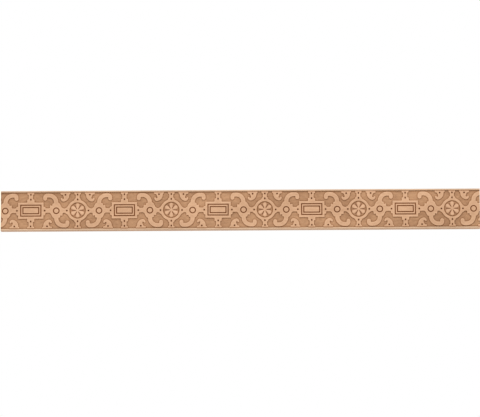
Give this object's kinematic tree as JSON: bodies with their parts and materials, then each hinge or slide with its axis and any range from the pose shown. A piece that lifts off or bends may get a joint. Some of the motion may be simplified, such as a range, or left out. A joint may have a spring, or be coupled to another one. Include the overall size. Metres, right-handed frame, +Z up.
{
  "type": "carved wooden moulding",
  "caption": "Straight flat wooden moulding with beaded edges, carved with a strapwork frieze of oblong cartouches, petalled bosses and S-scrolls, cut square at both ends.",
  "frame": {"origin": "centre of the flat back face, halfway along the length and halfway up the width", "axes": "+X along the moulding's length, +Z up across its width as it is fixed, +Y out of the back face; the carved face looks along -Y"},
  "size_m": [0.6096, 0.0127, 0.0508],
  "materials": {
    "wood": "satin"
  },
  "bodies": {
    "root": {"strapwork_moulding": "wood"}
  },
  "joints": []
}
